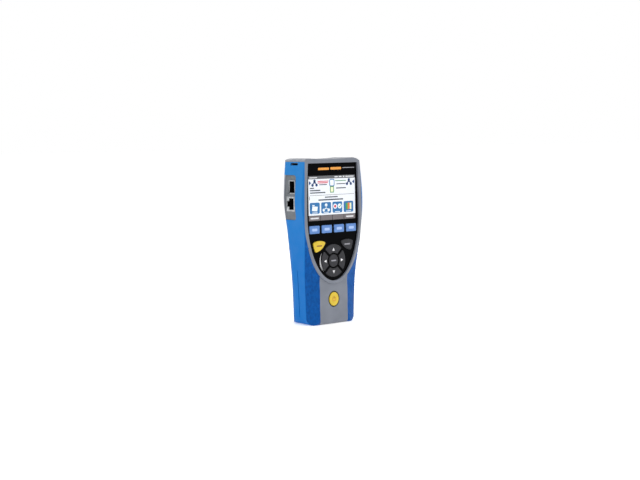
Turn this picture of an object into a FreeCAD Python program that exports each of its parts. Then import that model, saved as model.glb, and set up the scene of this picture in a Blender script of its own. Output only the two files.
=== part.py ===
import FreeCAD, Part
import math
import os
import re
import Sketcher

# A handheld network tester: a two-part hard case with rubber side grips, a shield-shaped front
# lens, a colour display, twelve keys, port panels on both sides and a battery pack at the back.
# It stands on its base: X to the right, Z up, and the front faces -Y. Millimetres.

Vector = FreeCAD.Vector
document = FreeCAD.newDocument("NetworkTester")
sheet = document.addObject("Spreadsheet::Sheet", "Sizes")

sizes = {
    # case outline
    "bodyHeight": 175, "bodyDepth": 40,
    "baseWidth": 63, "gripWidth": 67, "waistWidth": 75, "chestWidth": 80, "topWidth": 72.4,
    "gripHeight": 50, "waistHeight": 100, "chestHeight": 130,
    "baseSetback": 8.6, "gripSetback": 7.2, "waistSetback": 1.8, "chestSetback": 1.2,
    "baseBackRadius": 13, "gripBackRadius": 13.3, "waistBackRadius": 11.5,
    "chestBackRadius": 9.3, "topBackRadius": 7,
    "sideEdgeRadius": 2, "topEndRadius": 7, "baseEndRadius": 4, "baseCornerRadius": 8,
    "topDip": 1.2, "topDipWidth": 54,
    "panelWidth": 36.4, "panelDrop": 2, "gripSkin": 1.4, "skinGap": 0.08, "caseWall": 1.8,
    "gripTop": 171.5, "backPanelWidth": 46, "grooveWidth": 0.9, "grooveDepth": 0.35, "grooveTop": 58,
    # lens, rim and display
    "lensWidth": 68.4, "lensTopWidth": 64.6, "lensTop": 169.7, "lensBottom": 46.3,
    "lensShoulder": 116.3, "lensRecess": 2.4, "lensThickness": 1.4, "lensWall": 1.6,
    "lensGap": 0.15, "rimWidth": 3.5, "rimFall": 0.2, "rimRound": 1.1,
    "displayWidth": 61.4, "displayHeight": 46.6, "displayBottom": 110, "displayMargin": 3.6,
    "glassThickness": 1.1, "glassGap": 0.12, "moduleThickness": 3.4,
    "gasketWidth": 1.6, "gasketThickness": 0.5,
    # keys
    "keyProud": 1, "keyTravel": 0.8, "keyGap": 0.25, "keyLip": 0.6, "lipThickness": 0.8,
    "lipGap": 0.2, "keyRound": 0.4,
    "softKeyWidth": 13, "softKeyHeight": 8.2, "softKeyPitch": 16.1, "softKeyBottom": 96.8,
    "softKeyCorner": 0.9,
    "navCentre": 67.2, "navHeight": 34.6, "navWidth": 31, "navInner": 16.6, "navSlot": 2.6,
    "enterHeight": 13.4, "enterWidth": 12, "powerCentre": 26.5, "powerHeight": 14.5,
    "powerWidth": 12, "powerDish": 1.3, "powerDishDepth": 1.2, "cornerKeyRadius": 1.5,
    "arrowCorner": 0.9,
    # key mat and boards
    "domeRadius": 2.5, "domeThickness": 0.3, "matThickness": 0.8, "bumpHeight": 0.3,
    "bumpGap": 0.1, "boardThickness": 1.6, "boardGap": 3.4, "postRadius": 1.8, "postGap": 0.3,
    "mainHalfWidth": 32, "mainBottom": 96, "mainTop": 161,
    # port panels and sockets
    "portBottom": 111.3, "portTop": 157.7, "portFront": -6.2, "portBack": 12, "portCorner": 3.5,
    "portRecess": 0.4, "portGap": 0.15, "socketRecess": 0.6, "socketWall": 0.9,
    "jackCentre": 127.8, "jackWidth": 15.4, "jackDepth": 14.4, "jackLength": 21,
    "plugWidth": 12, "plugHeight": 8, "plugLength": 14, "latchWidth": 6, "latchHeight": 3.6,
    "cageCentre": 145.4, "cageWidth": 14, "cageDepth": 10.8, "cageLength": 47,
    "usbWidth": 13.2, "usbDepth": 6, "usbLength": 14, "usbWall": 0.5,
    "inletCentre": 116.3, "inletSize": 7.4, "inletBore": 2.9, "inletPin": 1, "inletLength": 12,
    "lightHeight": 155.4, "lightRadius": 1.1, "lightLength": 5, "lightPlace": 1.7,
    "slotHeight": 169.2, "slotThickness": 2.6, "slotFront": -8, "slotLength": 13,
    # battery, door and buzzer
    "doorWidth": 37, "doorBottom": 5, "doorTop": 95, "doorThickness": 2, "doorGap": 0.2,
    "doorScrewInset": 4, "packWidth": 34.8, "packBottom": 14, "packHeight": 69.5,
    "packDepth": 18.4, "packGap": 0.3, "trayWall": 1.2, "contactSpace": 3,
    "buzzerRadius": 8, "buzzerThickness": 4.6, "buzzerCentre": 124, "grillePitch": 3.2,
    "grilleHole": 0.9,
    # screws
    "screwRadius": 1.25, "screwGap": 0.1, "headRadius": 2.3, "headThickness": 1.2,
    "headSink": 0.4, "headDepth": 3, "bossRadius": 3, "frontBossRadius": 2.4,
    "screwDepth": 9,
}

for row, (name, value) in enumerate(sizes.items(), 1):
    sheet.set("A%d" % row, name)
    sheet.set("B%d" % row, str(value))
    sheet.setAlias("B%d" % row, name)
document.recompute()


def size(name):
    return float(sheet.get(name))


def bind(item, prop, text):
    """Ties a property to the sheet: each size's name in the text is read from its cell."""
    words = lambda found: "Sizes." + found[0] if found[0] in sizes else found[0]
    item.setExpression(prop, re.sub(r"[A-Za-z]\w*", words, text))


subParts = {}


def keep(item, name):
    item.Label = name
    subParts[name] = item
    return item


def block(name, low, spans):
    """A box from its lowest corner and its three lengths, all tied to the sheet."""
    item = document.addObject("Part::Box", name)
    for prop, text in zip(("Length", "Width", "Height"), spans):
        bind(item, prop, text)
    for axis, text in zip("xyz", low):
        bind(item, "Placement.Base." + axis, text)
    return item


turns = {
    "x": FreeCAD.Rotation(Vector(0, 1, 0), 90),
    "y": FreeCAD.Rotation(Vector(1, 0, 0), -90),
    "z": FreeCAD.Rotation(),
}


def rod(name, axis, low, radius, length):
    """A cylinder that starts at low and runs along +axis, tied to the sheet."""
    item = document.addObject("Part::Cylinder", name)
    item.Placement = FreeCAD.Placement(Vector(), turns[axis])
    bind(item, "Radius", radius)
    bind(item, "Height", length)
    for letter, text in zip("xyz", low):
        bind(item, "Placement.Base." + letter, text)
    return item


def together(name, items):
    item = document.addObject("Part::MultiFuse", name)
    item.Shapes = items
    return item


def without(name, base, tools):
    item = document.addObject("Part::Cut", name)
    item.Base = base
    item.Tool = tools[0] if len(tools) == 1 else together(name + "Tools", tools)
    return item


def shaped(name, shape):
    item = document.addObject("Part::Feature", name)
    item.Shape = shape
    item.Placement = FreeCAD.Placement()
    return item


def originPlane(body, role):
    return next(item for item in body.Origin.OriginFeatures if item.Role == role)


def frontSketch(body, name, width, height, centre, back):
    """A rectangle on the front plane, centred on its own origin, which the sheet places."""
    sketch = body.newObject("Sketcher::SketchObject", name)
    sketch.AttachmentSupport = (originPlane(body, "XZ_Plane"), [""])
    sketch.MapMode = "FlatFace"
    corners = [Vector(-1, -1), Vector(1, -1), Vector(1, 1), Vector(-1, 1)]
    for index in range(4):
        sketch.addGeometry(Part.LineSegment(corners[index], corners[(index + 1) % 4]), False)
    for index in range(4):
        sketch.addConstraint(Sketcher.Constraint("Coincident", index, 2, (index + 1) % 4, 1))
    for index, kind in enumerate(("Horizontal", "Vertical", "Horizontal", "Vertical")):
        sketch.addConstraint(Sketcher.Constraint(kind, index))
    sketch.addConstraint(Sketcher.Constraint("Symmetric", 0, 1, 2, 1, -1, 1))
    across = sketch.addConstraint(Sketcher.Constraint("DistanceX", 0, 1, 0, 2, 2))
    upright = sketch.addConstraint(Sketcher.Constraint("DistanceY", 1, 1, 1, 2, 2))
    bind(sketch, "Constraints[%d]" % across, width)
    bind(sketch, "Constraints[%d]" % upright, height)
    bind(sketch, "AttachmentOffset.Base.x", centre[0])
    bind(sketch, "AttachmentOffset.Base.y", centre[1])
    bind(sketch, "AttachmentOffset.Base.z", "-1 * (%s)" % back)
    return sketch


def frontPad(body, name, sketch, length):
    """Pads a front sketch towards -Y, out of the front of the tester."""
    pad = body.newObject("PartDesign::Pad", name)
    pad.Profile = sketch
    bind(pad, "Length", length)
    return pad


# ---------------------------------------------------------------- places in depth

halfDepth = size("bodyDepth") / 2
frontFace = -halfDepth
lensFront = frontFace + size("lensRecess")
lensBack = lensFront + size("lensThickness")
wallBack = lensBack + size("lensWall")
lipFront = wallBack + size("lipGap")
lipBack = lipFront + size("lipThickness")
matFront = lipBack + size("keyTravel") + size("bumpGap") + size("bumpHeight")
lensFrontText = "(lensRecess - bodyDepth / 2)"
wallBackText = "(lensRecess + lensThickness + lensWall - bodyDepth / 2)"
lipBackText = "(%s + lipGap + lipThickness)" % wallBackText
boardFrontText = "(%s + keyTravel + bumpGap + bumpHeight + matThickness)" % lipBackText
mainFrontText = "(%s + boardThickness + boardGap)" % boardFrontText
mainBackText = "(%s + boardThickness)" % mainFrontText
caseInnerText = "(bodyDepth / 2 - gripSkin - caseWall)"
boardFront = matFront + size("matThickness")
keyBoardBack = boardFront + size("boardThickness")
mainFront = keyBoardBack + size("boardGap")
mainBack = mainFront + size("boardThickness")
caseInner = halfDepth - size("gripSkin") - size("caseWall")
far = 2 * size("bodyHeight")


# ---------------------------------------------------------------- the case outline

def smooth(stations, height):
    """A smooth curve through (height, value) stations, read at one height."""
    last = len(stations) - 1
    index = 0
    while index < last - 1 and height > stations[index + 1][0]:
        index += 1
    slopes = []
    for place in (index, index + 1):
        low = stations[max(place - 1, 0)]
        high = stations[min(place + 1, last)]
        slopes.append((high[1] - low[1]) / (high[0] - low[0]))
    (start, first), (end, second) = stations[index:index + 2]
    span = end - start
    part = (height - start) / span
    value = first * (2 * part ** 3 - 3 * part ** 2 + 1) + second * (3 * part ** 2 - 2 * part ** 3)
    return value + span * (slopes[0] * (part ** 3 - 2 * part ** 2 + part)
                           + slopes[1] * (part ** 3 - part ** 2))


def stations(words):
    heights = [0, size("gripHeight"), size("waistHeight"), size("chestHeight"), size("bodyHeight")]
    return list(zip(heights, [size(word) for word in words]))


widthStations = stations(["baseWidth", "gripWidth", "waistWidth", "chestWidth", "topWidth"])
setbackStations = stations(
    ["baseSetback", "gripSetback", "waistSetback", "chestSetback", "chestSetback"])
radiusStations = stations(
    ["baseBackRadius", "gripBackRadius", "waistBackRadius", "chestBackRadius", "topBackRadius"])


def rimHalf(height):
    """Half the width over the rim at a height, which is an ellipse below the lens shoulder."""
    half = size("lensWidth") / 2 + size("rimWidth")
    drop = size("lensShoulder") - size("lensBottom") + size("rimWidth")
    share = min(max(size("lensShoulder") - height, 0) / drop, 1)
    return half * math.sqrt(1 - share ** 2)


def panelFall(height):
    """How far the front face lies behind the rim's plane: the lower panel is set back."""
    start = size("lensBottom")
    share = min(max((height - start) / (size("waistHeight") - start), 0), 1)
    return size("panelDrop") * (1 - share ** 2 * (3 - 2 * share))


def mirrored(point):
    return Vector(-point.x, point.y, point.z)


def section(height, inset):
    """One level outline of the case, set in by a wall thickness."""
    half = smooth(widthStations, height) / 2 - inset
    radius = smooth(radiusStations, height) - inset
    edge = Vector(half, frontFace + smooth(setbackStations, height) + 0.8 * inset, height)
    start = max(size("panelWidth") / 2, rimHalf(height)) - 0.3 * inset
    front = Vector(min(start, half - 1.5), frontFace + panelFall(height) + inset, height)
    slope = (front - edge).normalize()
    side = Vector(0, 1, 0)
    opened = slope.getAngle(side) / 2
    rounding = max(size("sideEdgeRadius") - 0.4 * inset, 0.5)
    onSlope = edge + slope * (rounding / math.tan(opened))
    onSide = edge + side * (rounding / math.tan(opened))
    middle = (slope + side).normalize()
    onArc = edge + middle * (rounding / math.sin(opened) - rounding)
    back = halfDepth - inset
    backSide = Vector(half, back - radius, height)
    backFace = Vector(half - radius, back, height)
    diagonal = radius * (1 - math.sqrt(0.5))
    backArc = Vector(half - diagonal, back - diagonal, height)
    pieces = [
        Part.LineSegment(mirrored(front), front),
        Part.LineSegment(front, onSlope),
        Part.Arc(onSlope, onArc, onSide),
        Part.LineSegment(onSide, backSide),
        Part.Arc(backSide, backArc, backFace),
        Part.LineSegment(backFace, mirrored(backFace)),
        Part.Arc(mirrored(backFace), mirrored(backArc), mirrored(backSide)),
        Part.LineSegment(mirrored(backSide), mirrored(onSide)),
        Part.Arc(mirrored(onSide), mirrored(onArc), mirrored(onSlope)),
        Part.LineSegment(mirrored(onSlope), mirrored(front)),
    ]
    return Part.Wire([piece.toShape() for piece in pieces])


def endRounding(inset, baseRadius, place, reach, base, top):
    """A prism that rounds the two ends: base and top are (low, high) limits across the case."""
    low = inset
    high = size("bodyHeight") - inset
    small = baseRadius - inset / 2
    large = size("topEndRadius") - inset / 2
    bend = 1 - math.sqrt(0.5)
    points = [
        (base[0] + small, low), (base[1] - small, low),
        (base[1] - small * bend, low + small * bend), (base[1], low + small),
        (far, low + small), (far, high - large), (top[1], high - large),
        (top[1] - large * bend, high - large * bend), (top[1] - large, high),
        (top[0] + large, high), (top[0] + large * bend, high - large * bend),
        (top[0], high - large), (-far, high - large), (-far, low + small),
        (base[0], low + small), (base[0] + small * bend, low + small * bend),
    ]
    points = [place(*point) for point in points]
    line = lambda first, second: Part.LineSegment(points[first], points[second]).toShape()
    arc = lambda first: Part.Arc(points[first], points[first + 1], points[(first + 2) % 16]).toShape()
    edges = [line(0, 1), arc(1), line(3, 4), line(4, 5), line(5, 6), arc(6), line(8, 9), arc(9),
             line(11, 12), line(12, 13), line(13, 14), arc(14)]
    face = Part.Face(Part.Wire(edges))
    return face.extrude(reach)


def ends(inset):
    """Both end roundings in one solid, with the shallow dip across the top."""
    lowHalf = smooth(widthStations, size("baseCornerRadius")) / 2 - inset
    highHalf = smooth(widthStations, size("bodyHeight") - size("topEndRadius")) / 2 - inset
    across = endRounding(inset, size("baseCornerRadius"), lambda u, z: Vector(u, -far, z),
                         Vector(0, 2 * far, 0), (-lowHalf, lowHalf), (-highHalf, highHalf))
    front = frontFace + inset
    back = halfDepth - inset
    along = endRounding(inset, size("baseEndRadius"), lambda u, z: Vector(-far, u, z),
                        Vector(2 * far, 0, 0), (front + size("panelDrop"), back), (front, back))
    dip = size("topDip")
    radius = size("topDipWidth") ** 2 / 8 / dip + dip / 2 - inset
    centre = Vector(0, -far, size("bodyHeight") - dip + radius)
    scoop = Part.makeCylinder(radius, 2 * far, centre, Vector(0, 1, 0))
    return across.common(along).cut(scoop)


envelopes = {}


def envelope(inset):
    """The whole case as one solid, set in by a wall thickness; each is worked out once."""
    if inset in envelopes:
        return envelopes[inset]
    steps = 14
    top = size("bodyHeight") + 1
    heights = [-1 + (top + 1) * step / steps for step in range(steps + 1)]
    loft = Part.makeLoft([section(height, inset) for height in heights], True, False)
    envelopes[inset] = loft.common(ends(inset))
    return envelopes[inset]


# ---------------------------------------------------------------- outlines on the front

def lensFaces(grow):
    """The shield outline of the lens, grown by a margin, as its oval and its upper part."""
    half = size("lensWidth") / 2 + grow
    topHalf = size("lensTopWidth") / 2 + grow
    shoulder = size("lensShoulder")
    top = size("lensTop") + grow
    tall = shoulder - size("lensBottom") + grow
    shift = 0.3 * (half - topHalf)
    oval = ovalFace(2 * half, 2 * tall, shoulder, 0)
    middle = (shoulder + top) / 2
    corners = [Vector(-half, 0, shoulder), Vector(half, 0, shoulder)]
    sides = [
        Part.LineSegment(corners[0], corners[1]).toShape(),
        Part.Arc(corners[1], Vector(half - shift, 0, middle), Vector(topHalf, 0, top)).toShape(),
        Part.LineSegment(Vector(topHalf, 0, top), Vector(-topHalf, 0, top)).toShape(),
        Part.Arc(Vector(-topHalf, 0, top), Vector(shift - half, 0, middle), corners[0]).toShape(),
    ]
    return oval, Part.Face(Part.Wire(sides))


def raised(face, back, front):
    """A flat outline drawn at y = 0, made into a prism between two depths."""
    copy = face.copy()
    copy.translate(Vector(0, back, 0))
    return copy.extrude(Vector(0, front - back, 0))


def lensPrism(grow, back, front):
    """The shield as a prism: its lower part is half an ellipse and its upper part is straighter."""
    oval, upper = lensFaces(grow)
    shoulder = size("lensShoulder")
    lower = raised(oval, back, front)
    keepBelow = Part.makeBox(2 * far, 2 * far, far, Vector(-far, -far, shoulder - far))
    prism = lower.common(keepBelow).fuse(raised(upper, back, front)).removeSplitter()
    return prism.Solids[0]


def roundFront(solid, radius):
    """Rounds the edges of a prism's front face."""
    front = solid.BoundBox.YMin
    edges = [edge for edge in solid.Edges if edge.BoundBox.YMax < front + 1e-4]
    return solid.makeFillet(radius, edges)


def ovalFace(width, height, centre, grow):
    wide = width / 2 + grow
    tall = height / 2 + grow
    axes = (Vector(0, 0, tall), Vector(wide, 0, 0))
    if wide > tall:
        axes = (axes[1], axes[0])
    edge = Part.Ellipse(axes[0], axes[1], Vector()).toShape()
    edge.translate(Vector(0, 0, centre))
    return Part.Face(Part.Wire([edge]))


def softened(face, radius):
    """The same outline with its corners rounded."""
    solid = face.extrude(Vector(0, 1, 0))
    upright = [edge for edge in solid.Edges if edge.BoundBox.YLength > 0.5]
    solid = solid.makeFillet(radius, upright)
    return next(item for item in solid.Faces if item.BoundBox.YMax < 1e-4)


def cornerFace(side, grow):
    """The rounded triangle of the two corner keys; side is -1 on the left and 1 on the right."""
    outline = [(26.3, 87), (18, 88.9), (10, 87), (15, 80.5), (23.3, 77), (25.2, 82)]
    middle = Vector(19.6 * side, 0, 83.7)
    points = []
    for index, (x, z) in enumerate(outline):
        point = Vector(x * side, 0, z)
        reach = grow if index % 2 else 1.6 * grow
        points.append(point + (point - middle).normalize() * reach)
    edges = [Part.Arc(points[first], points[first + 1], points[(first + 2) % 6]).toShape()
             for first in (0, 2, 4)]
    return softened(Part.Face(Part.Wire(edges)), size("cornerKeyRadius") + grow)


def arrowFace(quarter, grow):
    """One quarter of the ring of arrow keys; quarter 0 is the upper one, then clockwise."""
    centre = size("navCentre")
    outer = ovalFace(size("navWidth"), size("navHeight"), centre, grow)
    inner = ovalFace(size("navInner") - 1, size("navInner"), centre, -grow)
    apex = (size("navSlot") / 2 - grow) * math.sqrt(2)
    reach = size("navHeight")
    points = [Vector(0, 0, apex), Vector(reach, 0, apex + reach), Vector(-reach, 0, apex + reach)]
    turn = FreeCAD.Rotation(Vector(0, 1, 0), 90 * quarter)
    points = [turn.multVec(point) + Vector(0, 0, centre) for point in points]
    wedge = Part.Face(Part.makePolygon(points + points[:1]))
    return softened(outer.cut(inner).common(wedge).Faces[0], size("arrowCorner"))


keyFaces = {
    "escape_key": lambda grow: cornerFace(-1, grow),
    "autotest_key": lambda grow: cornerFace(1, grow),
    "up_key": lambda grow: arrowFace(0, grow),
    "right_key": lambda grow: arrowFace(1, grow),
    "down_key": lambda grow: arrowFace(2, grow),
    "left_key": lambda grow: arrowFace(3, grow),
    "enter_key": lambda grow: ovalFace(size("enterWidth"), size("enterHeight"), size("navCentre"), grow),
    "power_key": lambda grow: ovalFace(size("powerWidth"), size("powerHeight"), size("powerCentre"), grow),
}
softKeys = ["f1_key", "f2_key", "f3_key", "f4_key"]


def softKeyPlace(index):
    return (index - 1.5) * size("softKeyPitch")


def keyCentres():
    """Where each key presses its dome."""
    row = size("softKeyBottom") + size("softKeyHeight") / 2
    arm = (size("navHeight") + size("navInner")) / 4
    nav = size("navCentre")
    spots = [(softKeyPlace(index), row) for index in range(len(softKeys))]
    spots += [(-20, 84), (20, 84)]
    spots += [(0, nav), (0, nav + arm), (0, nav - arm), (arm - 1, nav), (1 - arm, nav)]
    spots.append((0, size("powerCentre")))
    return spots


def shapedKey(name, face):
    """A key with a cap that stands through the lens and a lip that the wall holds in."""
    plane = lensFront
    if name == "power_key":
        plane = frontFace + size("panelDrop") + size("keyProud") / 2
    cap = roundFront(raised(face(0), lipBack, plane - size("keyProud")), size("keyRound"))
    lip = raised(face(size("keyLip")), lipBack, lipFront)
    return keep(shaped(name, cap.fuse(lip)), name)


def softKey(index):
    name = softKeys[index]
    body = document.addObject("PartDesign::Body", name)
    centre = ("(%g) * softKeyPitch" % (index - 1.5), "softKeyBottom + softKeyHeight / 2")
    lipSketch = frontSketch(body, name + "LipOutline", "softKeyWidth + 2 * keyLip",
                            "softKeyHeight + 2 * keyLip", centre, lipBackText)
    frontPad(body, name + "Lip", lipSketch, "lipThickness")
    capSketch = frontSketch(body, name + "CapOutline", "softKeyWidth", "softKeyHeight", centre,
                            lipBackText)
    cap = frontPad(body, name + "Cap", capSketch,
                   "%s - %s + keyProud" % (lipBackText, lensFrontText))
    document.recompute()
    upright = [number for number, edge in enumerate(cap.Shape.Edges, 1)
               if edge.BoundBox.YLength > size("lensThickness")]
    corners = body.newObject("PartDesign::Fillet", name + "Corners")
    corners.Base = (cap, ["Edge%d" % number for number in upright])
    bind(corners, "Radius", "softKeyCorner")
    document.recompute()
    front = corners.Shape.BoundBox.YMin
    rim = [number for number, edge in enumerate(corners.Shape.Edges, 1)
           if edge.BoundBox.YMax < front + 1e-4]
    crown = body.newObject("PartDesign::Fillet", name + "Crown")
    crown.Base = (corners, ["Edge%d" % number for number in rim])
    bind(crown, "Radius", "keyRound")
    return keep(body, name)


# ---------------------------------------------------------------- places that repeat

bossSpots = [(side * across, height) for side in (-1, 1)
             for across, height in ((24.5, 165.5), (28.9, 76), (22.5, 8.5))]
postSpots = [(0, 91.5), (-13, 44), (13, 44), (-12, 18), (12, 18)]
standoffSpots = [(-28, 103), (28, 103), (-14, 103), (14, 103)]
doorScrewHeights = [size("doorBottom") + size("doorScrewInset"),
                    size("doorTop") - size("doorScrewInset")]


def boardFace(grow):
    """The outline that the key mat and the key board share: wide under the upper keys."""
    points = [(-16.5, 13), (16.5, 13), (16.5, 73.5), (25.9, 73.5), (25.9, 80), (31, 80), (31, 106.1),
              (-31, 106.1), (-31, 80), (-25.9, 80), (-25.9, 73.5), (-16.5, 73.5)]
    wire = Part.makePolygon([Vector(x, 0, z) for x, z in points + points[:1]])
    return Part.Face(wire.makeOffset2D(grow)) if grow else Part.Face(wire)


def drum(spot, radius, start, end):
    """A round bar along Y between two depths."""
    return Part.makeCylinder(radius, end - start, Vector(spot[0], start, spot[1]), Vector(0, 1, 0))


def slab(x, y, z):
    return Part.makeBox(x[1] - x[0], y[1] - y[0], z[1] - z[0], Vector(x[0], y[0], z[0]))


def portPrism(side, grow):
    """The outline of a port panel, run through the side wall."""
    low = size("portBottom") - grow
    high = size("portTop") + grow
    front = size("portFront") - grow
    back = size("portBack") + grow
    solid = slab((0, far), (front, back), (low, high))
    edges = [edge for edge in solid.Edges if edge.BoundBox.XLength > far / 2
             and edge.BoundBox.YMax < 0]
    solid = solid.makeFillet(size("portCorner"), edges)
    cutter = slab((size("mainHalfWidth") - 4, far), (-far, far), (0, far))
    solid = solid.common(cutter)
    return solid if side > 0 else solid.mirror(Vector(), Vector(1, 0, 0))


def sideWall(side, height):
    """Where the case's outer side lies at a height."""
    return side * smooth(widthStations, height) / 2


# ---------------------------------------------------------------- case, grips and panels

skin = size("gripSkin")
wall = skin + size("caseWall")
everywhere = (-far, far)


def gripRegion(side):
    """Where the rubber lies: the side, the sloping front corner and the round back corner."""
    front = slab(sorted((side * size("panelWidth") / 2, side * far)), (-far, 0),
                 (-far, size("gripTop")))
    back = slab(sorted((side * size("backPanelWidth") / 2, side * far)), (0, far),
                (-far, size("gripTop")))
    rim = lensPrism(size("rimWidth"), frontFace / 2, frontFace - size("rimWidth"))
    behindPorts = slab(sorted((0, side * far)), (size("portFront") + size("portCorner"), far),
                       (size("portBottom") - size("portGap"), size("portTop") + size("portGap")))
    return front.fuse(back).cut(rim).cut(portPrism(side, size("portGap"))).cut(behindPorts)


def strapSlots():
    """The narrow slots near the top of both sides, as cutters that end inside the wall's depth."""
    low = size("slotHeight") - size("slotThickness") / 2
    depth = (size("slotFront"), size("slotFront") + size("slotLength"))
    reach = smooth(widthStations, size("slotHeight")) / 2 - wall - 1
    slots = slab(everywhere, depth, (low, low + size("slotThickness")))
    return slots.cut(slab((-reach, reach), everywhere, (0, far)))


def keyHoles(back, front):
    """Cutters for all the keys, each a running gap wider than its key."""
    gap = size("keyGap")
    holes = []
    for index in range(len(softKeys)):
        half = size("softKeyWidth") / 2 + gap
        centre = softKeyPlace(index)
        solid = slab((centre - half, centre + half), (front, back),
                     (size("softKeyBottom") - gap, size("softKeyBottom") + size("softKeyHeight") + gap))
        upright = [edge for edge in solid.Edges if edge.BoundBox.YLength > size("keyRound")]
        holes.append(solid.makeFillet(size("softKeyCorner"), upright))
    for name, face in keyFaces.items():
        holes.append(raised(face(gap), back, front))
    return holes


def displayHole(grow, back, front):
    half = size("displayWidth") / 2 + grow
    low = size("displayBottom") - grow
    return slab((-half, half), (front, back), (low, low + size("displayHeight") + 2 * grow))


def makeCase():
    outer = envelope(0)
    middle = envelope(skin)
    inner = envelope(wall)
    slots = strapSlots()
    groove = slab(everywhere, (-size("grooveWidth") / 2, size("grooveWidth") / 2),
                  (size("baseCornerRadius"), size("grooveTop"))).cut(envelope(size("grooveDepth")))
    headHoles = [drum(spot, size("headRadius") + size("screwGap"), 0, far) for spot in bossSpots]
    grips = [outer.common(gripRegion(side)) for side in (-1, 1)]
    rim = roundFront(lensPrism(size("rimWidth"), wallBack, frontFace + size("rimFall")),
                     size("rimRound"))
    skins = grips[0].fuse(grips[1]).cut(middle)
    hard = outer.cut(inner).fuse(rim.common(ends(0))).cut(skins)
    hard = hard.cut(portPrism(-1, size("portGap"))).cut(portPrism(1, size("portGap"))).cut(slots)
    front = hard.common(slab(everywhere, (-far, 0), everywhere))
    rear = hard.common(slab(everywhere, (0, far), everywhere))
    for name, grip in zip(("left_grip", "right_grip"), grips):
        rubber = grip.cut(envelope(skin - size("skinGap"))).cut([slots, groove] + headHoles)
        keep(shaped(name, rubber), name)
    makeFront(front)
    makeRear(rear)
    for side, name in ((-1, "left_port_panel"), (1, "right_port_panel")):
        makePortPanel(side, name)


def makeFront(front):
    """The front half of the case, with the lens seat, the key holes, screw bosses and posts."""
    bosses = [drum(spot, size("frontBossRadius"), wallBack - size("caseWall"), 0)
              for spot in bossSpots]
    posts = [drum(spot, size("postRadius"), wallBack - size("lensWall") / 2, boardFront)
             for spot in postSpots]
    bosses = [boss.common(envelope(skin + size("caseWall") / 2)) for boss in bosses]
    front = front.fuse(bosses + posts)
    cuts = [lensPrism(size("lensGap"), lensBack, frontFace - size("rimWidth"))]
    cuts.append(displayHole(size("glassGap"), wallBack, lensBack))
    cuts += keyHoles(wallBack, frontFace - size("rimWidth"))
    cuts.append(raised(ovalFace(size("powerWidth"), size("powerHeight"), size("powerCentre"),
                                size("powerDish")),
                       frontFace + size("panelDrop") + size("powerDishDepth"), frontFace))
    cuts += [drum(spot, size("screwRadius") + size("screwGap"), -size("screwDepth"), 0)
             for spot in bossSpots]
    keep(shaped("front_housing", front.cut(cuts)), "front_housing")


def doorSlab(gap, front):
    """The battery door's outline, from a depth out through the back face."""
    half = size("doorWidth") / 2 + gap
    return slab((-half, half), (front, far), (size("doorBottom") - gap, size("doorTop") + gap))


def grilleSpots():
    spots = [(0, size("buzzerCentre"))]
    for ring in (1, 2):
        for step in range(6 * ring):
            turn = math.pi * step / (3 * ring)
            reach = ring * size("grillePitch")
            spots.append((reach * math.cos(turn), size("buzzerCentre") + reach * math.sin(turn)))
    return spots


def makeRear(rear):
    """The rear half of the case, with the battery opening, buzzer grille and screw bosses."""
    doorFront = halfDepth - size("doorThickness")
    bosses = [drum(spot, size("bossRadius"), 0, halfDepth - skin).common(envelope(skin))
              for spot in bossSpots]
    bosses += [drum((0, height), size("bossRadius"), caseInner - size("bossRadius"), doorFront)
               for height in doorScrewHeights]
    rear = rear.fuse(bosses)
    half = size("packWidth") / 2 + size("packGap")
    low = size("packBottom") - size("packGap")
    high = low + size("packHeight") + size("contactSpace") + size("packGap")
    cuts = [doorSlab(size("doorGap"), doorFront), slab((-half, half), (0, far), (low, high))]
    cuts += [drum(spot, size("grilleHole"), 0, far) for spot in grilleSpots()]
    holeRadius = size("screwRadius") + size("screwGap")
    headHole = size("headRadius") + size("screwGap")
    headFloor = caseInner - size("headDepth")
    for spot in bossSpots:
        cuts += [drum(spot, holeRadius, 0, far), drum(spot, headHole, headFloor, far)]
    cuts += [drum((0, height), holeRadius, 0, far) for height in doorScrewHeights]
    keep(shaped("rear_housing", rear.cut(cuts)), "rear_housing")


def makePortPanel(side, name):
    panel = envelope(size("portRecess")).cut(envelope(wall)).common(portPrism(side, 0))
    gap = size("portGap")
    sockets = [("jackCentre", "jackWidth", "jackDepth")]
    if side < 0:
        sockets.append(("cageCentre", "cageWidth", "cageDepth"))
    else:
        sockets.append(("cageCentre", "usbWidth", "usbDepth"))
        sockets.append(("inletCentre", "inletSize", "inletSize"))
    cuts = []
    for centre, width, deep in sockets:
        half = size(width) / 2 + gap
        cuts.append(slab(sorted((0, side * far)), (mainBack - gap, mainBack + size(deep) + gap),
                         (size(centre) - half, size(centre) + half)))
    cuts.append(Part.makeCylinder(size("lightRadius") + gap / 2, far,
                                  Vector(0, size("lightPlace"), size("lightHeight")),
                                  Vector(side, 0, 0)))
    keep(shaped(name, panel.cut(cuts)), name)


# ---------------------------------------------------------------- lens and display

def makeLens():
    plate = lensPrism(0, lensBack, lensFront)
    cuts = keyHoles(lensBack, lensFront - size("keyProud"))
    cuts.append(displayHole(size("glassGap"), lensBack, lensFront))
    keep(shaped("lens_panel", plate.cut(cuts)), "lens_panel")


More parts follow.
